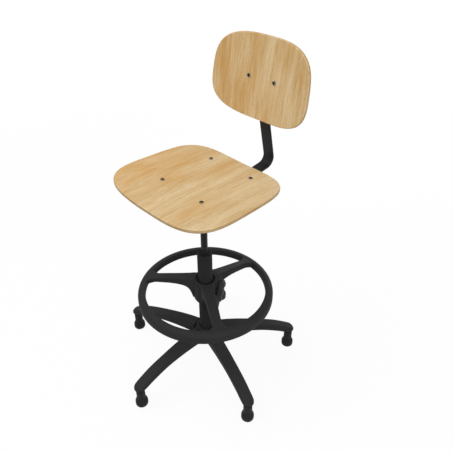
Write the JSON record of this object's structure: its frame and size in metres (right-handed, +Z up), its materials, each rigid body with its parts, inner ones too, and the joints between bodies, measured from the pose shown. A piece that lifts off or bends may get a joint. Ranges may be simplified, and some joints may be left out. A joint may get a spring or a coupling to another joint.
{
  "type": "swivel bar chair",
  "caption": "Bar-height swivel chair with plywood seat and backrest, gas-lift column, clamped foot ring and star base on glides.",
  "frame": {"origin": "on the floor, on the axis of the column", "axes": "+Z up along the column, -Y the way the sitter faces, +X to the sitter's left"},
  "size_m": [0.634, 0.6269, 1.1249],
  "materials": {
    "plywood": "clear matt lacquer, long grain",
    "black_nylon": "moulded, fine texture",
    "black_plastic": "moulded, satin",
    "black_steel": "powder coat, satin",
    "black_column": "smooth black paint",
    "zinc_steel": "bright zinc plate",
    "bright_steel": "ground",
    "plain_steel": "turned",
    "rubber": "matt",
    "brass": "turned"
  },
  "bodies": {
    "base": {"star_base": "black_nylon", "hub_sleeve": "plain_steel", "column_tube": "black_column", "guide_bush": "black_plastic", "lower_race": "bright_steel", "bearing_balls": "bright_steel", "bearing_cage": "plain_steel", "glide_stems": "zinc_steel", "glide_1": "black_nylon", "glide_2": "black_nylon", "glide_3": "black_nylon", "glide_4": "black_nylon", "glide_5": "black_nylon"},
    "rod": {"piston_rod": "bright_steel", "rod_piston": "plain_steel", "upper_race": "bright_steel", "rubber_buffer": "rubber", "rod_washer": "zinc_steel", "rod_clip": "zinc_steel"},
    "seat": {"back_bar": "black_steel", "back_nuts": "zinc_steel", "back_screws": "zinc_steel", "back_shell": "plywood", "bar_bolts": "zinc_steel", "bar_bracket": "black_steel", "bar_nuts": "zinc_steel", "cross_plate": "black_steel", "cylinder_gland": "plain_steel", "gas_cylinder": "black_column", "lever_ears": "black_steel", "lever_pin": "zinc_steel", "seat_nuts": "zinc_steel", "seat_pads": "rubber", "seat_plate": "black_steel", "seat_screws": "zinc_steel", "seat_shell": "plywood", "socket_gussets": "black_steel", "taper_socket": "black_steel"},
    "lever": {"release_lever": "black_steel", "lever_grip": "black_plastic"},
    "pin": {"release_pin": "bright_steel"},
    "liner": {"ring_liner": "black_plastic"},
    "ring": {"foot_ring": "black_nylon", "clamp_insert": "brass"},
    "pad": {"clamp_pad": "black_plastic"},
    "knob": {"clamp_stud": "zinc_steel", "clamp_knob": "black_plastic"}
  },
  "joints": [
    {"name": "seat_swivel", "type": "hinge", "parent": "base", "child": "rod", "pos_m": [0, 0, 0.1], "axis": [0, 0, 1], "continuous": true},
    {"name": "seat_lift", "type": "slide", "parent": "rod", "child": "seat", "axis": [0, 0, 1], "range_m": [-0.165, 0.075]},
    {"name": "lever_lift", "type": "hinge", "parent": "seat", "child": "lever", "pos_m": [-0.034, 0, 0.727], "axis": [0, 1, 0], "range_deg": [0, 8], "stiffness_Nm_per_rad": 0.8, "springref_deg": -17.19},
    {"name": "pin_press", "type": "slide", "parent": "seat", "child": "pin", "axis": [0, 0, -1], "range_m": [0, 0.005]},
    {"name": "ring_height", "type": "slide", "parent": "base", "child": "liner", "axis": [0, 0, 1], "range_m": [-0.115, 0.1]},
    {"name": "ring_turn", "type": "hinge", "parent": "liner", "child": "ring", "pos_m": [0, 0, 0.335], "axis": [0, 0, 1], "continuous": true},
    {"name": "clamp_travel", "type": "slide", "parent": "ring", "child": "pad", "axis": [0.866, 0.5, 0], "range_m": [0, 0.00126]},
    {"name": "knob_turn", "type": "hinge", "parent": "pad", "child": "knob", "pos_m": [0.03984, 0.023, 0.328], "axis": [0.866, 0.5, 0], "range_deg": [0, 360]}
  ],
  "couplings": [
    {"joint": "pin_press", "follows": "lever_lift", "m_per_rad": 0.035},
    {"joint": "clamp_travel", "follows": "knob_turn", "m_per_rad": 0.00019894}
  ]
}
